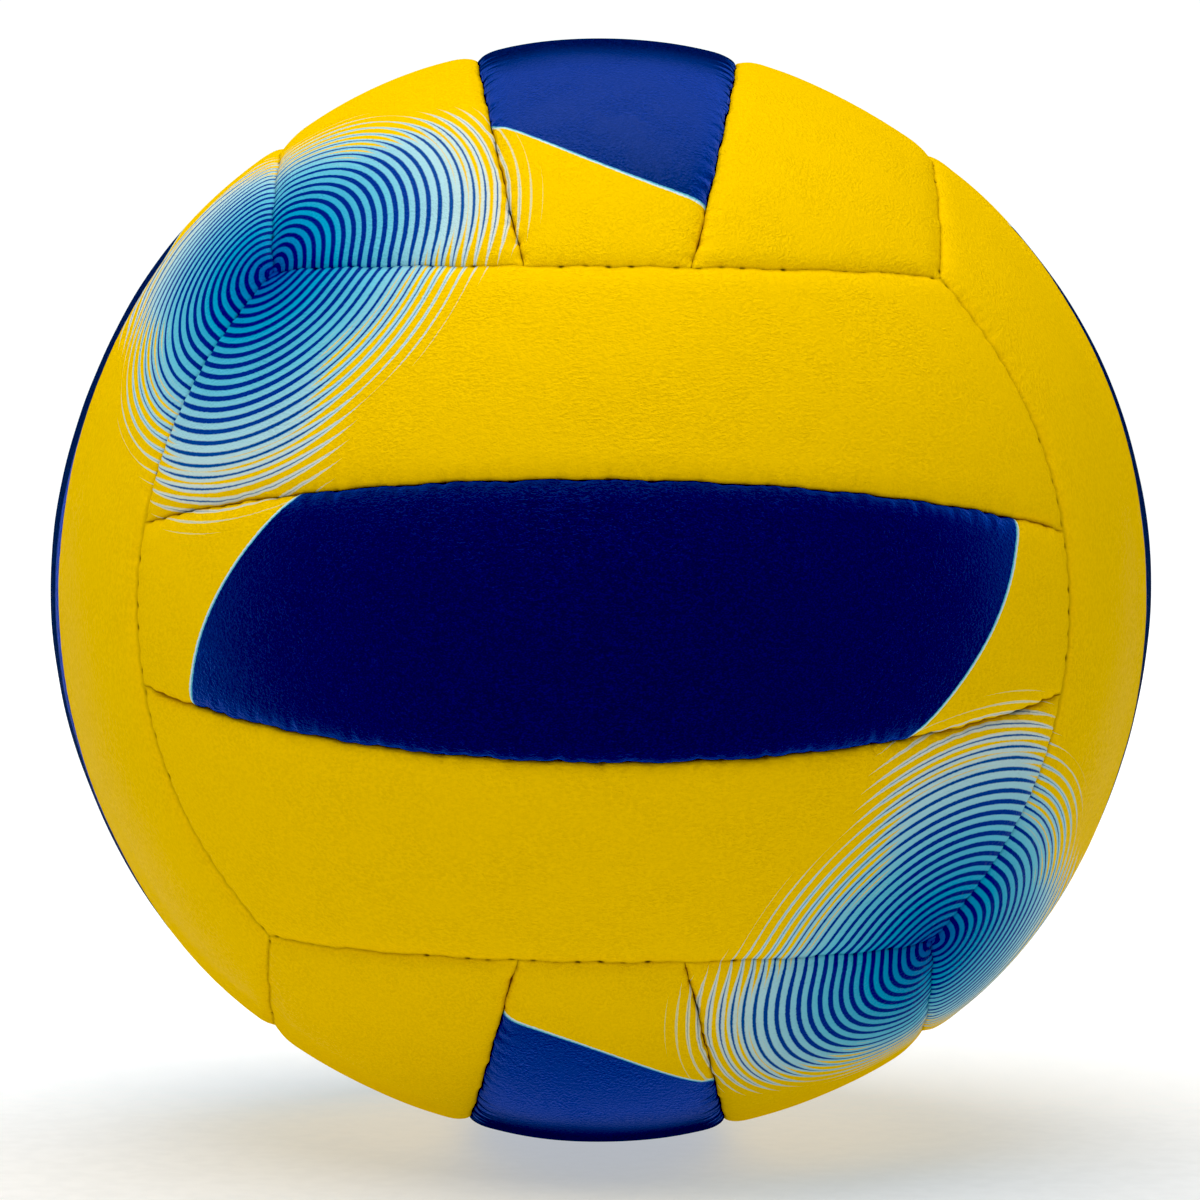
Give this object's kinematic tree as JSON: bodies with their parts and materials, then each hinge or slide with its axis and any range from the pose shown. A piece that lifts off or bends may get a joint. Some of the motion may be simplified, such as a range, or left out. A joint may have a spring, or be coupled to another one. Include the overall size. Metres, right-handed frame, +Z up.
{
  "type": "volleyball",
  "caption": "Round stitched volleyball with padded strip panels over an inflatable bladder, and a needle valve at the back.",
  "frame": {"origin": "centre of the ball", "axes": "+Z up, -Y the front that the picture shows, +Y out through the valve, +X to the right seen from the front"},
  "size_m": [0.213, 0.2129, 0.213],
  "materials": {
    "cover_yellow": "satin synthetic leather, fine grain, with a printed ring pattern in blues",
    "cover_navy": "satin synthetic leather, fine grain, navy with yellow ends",
    "foam_pad": "soft closed-cell foam",
    "cloth_lining": "plain woven cotton and polyester",
    "bladder_rubber": "matt butyl rubber",
    "valve_rubber": "moulded black rubber",
    "plug_rubber": "soft pale rubber, slightly oiled",
    "seam_thread": "twisted polyester thread"
  },
  "bodies": {
    "root": {"front_upper_cover": "cover_yellow", "front_middle_cover": "cover_navy", "front_lower_cover": "cover_yellow", "back_upper_cover": "cover_yellow", "back_middle_cover": "cover_navy", "back_lower_cover": "cover_yellow", "top_left_cover": "cover_yellow", "top_middle_cover": "cover_navy", "top_right_cover": "cover_yellow", "bottom_right_cover": "cover_yellow", "bottom_middle_cover": "cover_navy", "bottom_left_cover": "cover_yellow", "left_front_cover": "cover_yellow", "left_middle_cover": "cover_navy", "left_back_cover": "cover_yellow", "right_front_cover": "cover_yellow", "right_middle_cover": "cover_navy", "right_back_cover": "cover_yellow", "front_upper_foam": "foam_pad", "front_middle_foam": "foam_pad", "front_lower_foam": "foam_pad", "back_upper_foam": "foam_pad", "back_middle_foam": "foam_pad", "back_lower_foam": "foam_pad", "top_left_foam": "foam_pad", "top_middle_foam": "foam_pad", "top_right_foam": "foam_pad", "bottom_right_foam": "foam_pad", "bottom_middle_foam": "foam_pad", "bottom_left_foam": "foam_pad", "left_front_foam": "foam_pad", "left_middle_foam": "foam_pad", "left_back_foam": "foam_pad", "right_front_foam": "foam_pad", "right_middle_foam": "foam_pad", "right_back_foam": "foam_pad", "front_upper_lining": "cloth_lining", "front_middle_lining": "cloth_lining", "front_lower_lining": "cloth_lining", "back_upper_lining": "cloth_lining", "back_middle_lining": "cloth_lining", "back_lower_lining": "cloth_lining", "top_left_lining": "cloth_lining", "top_middle_lining": "cloth_lining", "top_right_lining": "cloth_lining", "bottom_right_lining": "cloth_lining", "bottom_middle_lining": "cloth_lining", "bottom_left_lining": "cloth_lining", "left_front_lining": "cloth_lining", "left_middle_lining": "cloth_lining", "left_back_lining": "cloth_lining", "right_front_lining": "cloth_lining", "right_middle_lining": "cloth_lining", "right_back_lining": "cloth_lining", "inner_seam_thread": "seam_thread", "edge_seam_thread": "seam_thread", "bladder": "bladder_rubber", "valve_patch": "bladder_rubber", "valve_housing": "valve_rubber", "valve_plug": "plug_rubber"}
  },
  "joints": []
}
